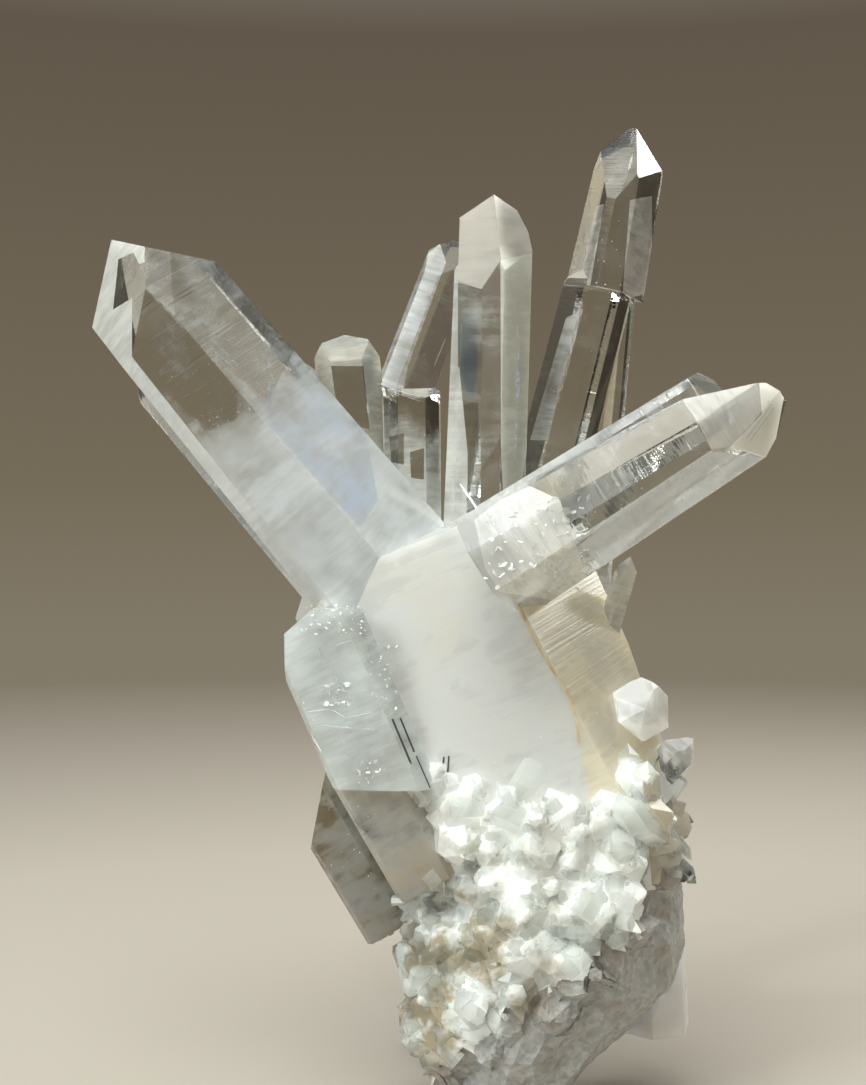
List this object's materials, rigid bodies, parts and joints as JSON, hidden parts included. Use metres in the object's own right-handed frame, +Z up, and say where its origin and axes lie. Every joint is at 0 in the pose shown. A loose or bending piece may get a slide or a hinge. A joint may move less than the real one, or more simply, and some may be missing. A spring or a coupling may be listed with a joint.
{
  "type": "quartz crystal cluster",
  "caption": "Cluster of clear to milky quartz points on a stubby milky trunk, grown over a druse crust and grey matrix, cut flat to stand.",
  "frame": {"origin": "near the middle of the flat cut that the specimen stands on", "axes": "+Z up, -Y towards the viewer of the picture, +X to the viewer's right; the large point leans towards -X"},
  "size_m": [0.1373, 0.0837, 0.201],
  "materials": {
    "clear quartz": "glossy crystal faces, clear points and milky trunk"
  },
  "bodies": {
    "root": {"quartz_cluster": "clear quartz"}
  },
  "joints": []
}
